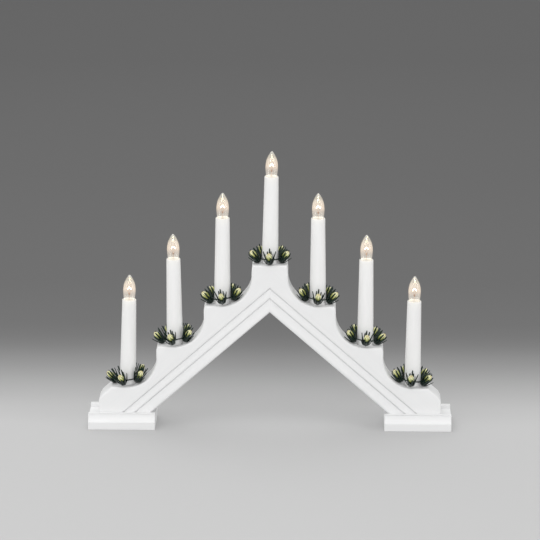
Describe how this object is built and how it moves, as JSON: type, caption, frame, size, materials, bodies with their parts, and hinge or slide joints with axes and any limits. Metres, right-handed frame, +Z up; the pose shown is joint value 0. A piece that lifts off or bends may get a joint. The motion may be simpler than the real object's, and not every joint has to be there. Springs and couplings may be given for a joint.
{
  "type": "electric candle arch",
  "caption": "White stepped inverted-V electric candle arch on moulded feet, with screw-in flame bulbs on candle sleeves and lift-off bud wreaths.",
  "frame": {"origin": "on the table, midway between the two feet and midway between front and back", "axes": "+X to the viewer's right along the arch, -Y to the front, +Z up"},
  "size_m": [0.49, 0.0684, 0.3784],
  "materials": {
    "white_painted_wood": "white satin paint over wood",
    "white_outlet_plastic": "moulded white plastic",
    "candle_plastic": "matt white moulded plastic",
    "holder_plastic": "moulded white plastic",
    "nickel_plated_cap": "nickel-plated screw shell",
    "clear_glass": "clear flame-shaped glass, lit warm white",
    "wreath_green": "moulded dark green plastic",
    "needle_green": "thin dark green plastic needles",
    "bud_yellow_green": "pale yellow-green buds"
  },
  "bodies": {
    "arch": {"arch_leg_left": "white_painted_wood", "arch_leg_right": "white_painted_wood", "foot_core_left": "white_painted_wood", "foot_core_right": "white_painted_wood", "foot_moulding_front_left": "white_painted_wood", "foot_moulding_front_right": "white_painted_wood", "foot_moulding_back_left": "white_painted_wood", "foot_moulding_back_right": "white_painted_wood", "wire_cover_left": "white_painted_wood", "wire_cover_right": "white_painted_wood", "cord_outlet": "white_outlet_plastic", "candle_sleeve_1": "candle_plastic", "lamp_holder_1": "holder_plastic", "candle_sleeve_2": "candle_plastic", "lamp_holder_2": "holder_plastic", "candle_sleeve_3": "candle_plastic", "lamp_holder_3": "holder_plastic", "candle_sleeve_4": "candle_plastic", "lamp_holder_4": "holder_plastic", "candle_sleeve_5": "candle_plastic", "lamp_holder_5": "holder_plastic", "candle_sleeve_6": "candle_plastic", "lamp_holder_6": "holder_plastic", "candle_sleeve_7": "candle_plastic", "lamp_holder_7": "holder_plastic"},
    "bulb_1": {"bulb_cap_1": "nickel_plated_cap", "bulb_glass_1": "clear_glass"},
    "bulb_2": {"bulb_cap_2": "nickel_plated_cap", "bulb_glass_2": "clear_glass"},
    "bulb_3": {"bulb_cap_3": "nickel_plated_cap", "bulb_glass_3": "clear_glass"},
    "bulb_4": {"bulb_cap_4": "nickel_plated_cap", "bulb_glass_4": "clear_glass"},
    "bulb_5": {"bulb_cap_5": "nickel_plated_cap", "bulb_glass_5": "clear_glass"},
    "bulb_6": {"bulb_cap_6": "nickel_plated_cap", "bulb_glass_6": "clear_glass"},
    "bulb_7": {"bulb_cap_7": "nickel_plated_cap", "bulb_glass_7": "clear_glass"},
    "wreath_1": {"wreath_ring_1": "wreath_green", "wreath_needles_1": "needle_green", "wreath_buds_1": "bud_yellow_green"},
    "wreath_2": {"wreath_ring_2": "wreath_green", "wreath_needles_2": "needle_green", "wreath_buds_2": "bud_yellow_green"},
    "wreath_3": {"wreath_ring_3": "wreath_green", "wreath_needles_3": "needle_green", "wreath_buds_3": "bud_yellow_green"},
    "wreath_4": {"wreath_ring_4": "wreath_green", "wreath_needles_4": "needle_green", "wreath_buds_4": "bud_yellow_green"},
    "wreath_5": {"wreath_ring_5": "wreath_green", "wreath_needles_5": "needle_green", "wreath_buds_5": "bud_yellow_green"},
    "wreath_6": {"wreath_ring_6": "wreath_green", "wreath_needles_6": "needle_green", "wreath_buds_6": "bud_yellow_green"},
    "wreath_7": {"wreath_ring_7": "wreath_green", "wreath_needles_7": "needle_green", "wreath_buds_7": "bud_yellow_green"}
  },
  "joints": [
    {"name": "bulb_1_lift", "type": "slide", "parent": "arch", "child": "bulb_1", "axis": [0.0262, 0, 0.9997], "range_m": [0, 0.029]},
    {"name": "bulb_2_lift", "type": "slide", "parent": "arch", "child": "bulb_2", "axis": [-0.0105, 0, 0.9999], "range_m": [0, 0.029]},
    {"name": "bulb_3_lift", "type": "slide", "parent": "arch", "child": "bulb_3", "axis": [0.007, 0, 1], "range_m": [0, 0.029]},
    {"name": "bulb_4_lift", "type": "slide", "parent": "arch", "child": "bulb_4", "axis": [0.0175, 0, 0.9998], "range_m": [0, 0.029]},
    {"name": "bulb_5_lift", "type": "slide", "parent": "arch", "child": "bulb_5", "axis": [0.0017, 0, 1], "range_m": [0, 0.029]},
    {"name": "bulb_6_lift", "type": "slide", "parent": "arch", "child": "bulb_6", "axis": [0.007, 0, 1], "range_m": [0, 0.029]},
    {"name": "bulb_7_lift", "type": "slide", "parent": "arch", "child": "bulb_7", "axis": [0.0122, 0, 0.9999], "range_m": [0, 0.029]},
    {"name": "wreath_1_lift", "type": "slide", "parent": "arch", "child": "wreath_1", "axis": [0, 0, 1], "range_m": [0, 0.16]},
    {"name": "wreath_2_lift", "type": "slide", "parent": "arch", "child": "wreath_2", "axis": [0, 0, 1], "range_m": [0, 0.16]},
    {"name": "wreath_3_lift", "type": "slide", "parent": "arch", "child": "wreath_3", "axis": [0, 0, 1], "range_m": [0, 0.16]},
    {"name": "wreath_4_lift", "type": "slide", "parent": "arch", "child": "wreath_4", "axis": [0, 0, 1], "range_m": [0, 0.16]},
    {"name": "wreath_5_lift", "type": "slide", "parent": "arch", "child": "wreath_5", "axis": [0, 0, 1], "range_m": [0, 0.16]},
    {"name": "wreath_6_lift", "type": "slide", "parent": "arch", "child": "wreath_6", "axis": [0, 0, 1], "range_m": [0, 0.16]},
    {"name": "wreath_7_lift", "type": "slide", "parent": "arch", "child": "wreath_7", "axis": [0, 0, 1], "range_m": [0, 0.16]}
  ]
}
